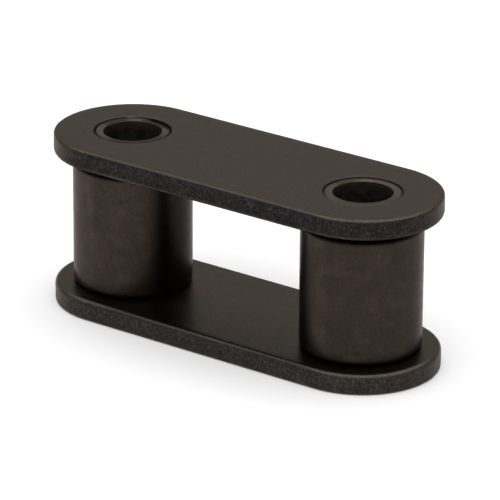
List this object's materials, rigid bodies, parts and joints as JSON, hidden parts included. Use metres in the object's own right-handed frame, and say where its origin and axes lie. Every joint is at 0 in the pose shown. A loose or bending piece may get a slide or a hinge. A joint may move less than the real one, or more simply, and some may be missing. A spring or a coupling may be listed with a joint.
{
  "type": "roller chain inner link",
  "caption": "Inner link of a steel roller chain: straight-sided plates with round ends, joined by pressed bushings that carry free-turning rollers.",
  "frame": {"origin": "centre of the link, midway between the two bushing axes and midway between the plates", "axes": "+X along the chain's pitch towards the right roller, +Y across the plates, +Z along the bushing axes towards the upper plate"},
  "size_m": [0.0648, 0.0234, 0.0266],
  "materials": {
    "plate_steel": "heat-treated dark oxide, semi-gloss",
    "bushing_steel": "heat-treated dark oxide, ground ends",
    "roller_steel": "heat-treated dark brown oxide, semi-gloss"
  },
  "bodies": {
    "link_frame": {"upper_link_plate": "plate_steel", "lower_link_plate": "plate_steel", "left_bushing": "bushing_steel", "right_bushing": "bushing_steel"},
    "left_roller_body": {"left_roller": "roller_steel"},
    "right_roller_body": {"right_roller": "roller_steel"}
  },
  "joints": [
    {"name": "left_roller_spin", "type": "hinge", "parent": "link_frame", "child": "left_roller_body", "pos_m": [-0.0207, 0, 0], "axis": [0, 0, 1], "continuous": true},
    {"name": "right_roller_spin", "type": "hinge", "parent": "link_frame", "child": "right_roller_body", "pos_m": [0.0207, 0, 0], "axis": [0, 0, 1], "continuous": true}
  ]
}
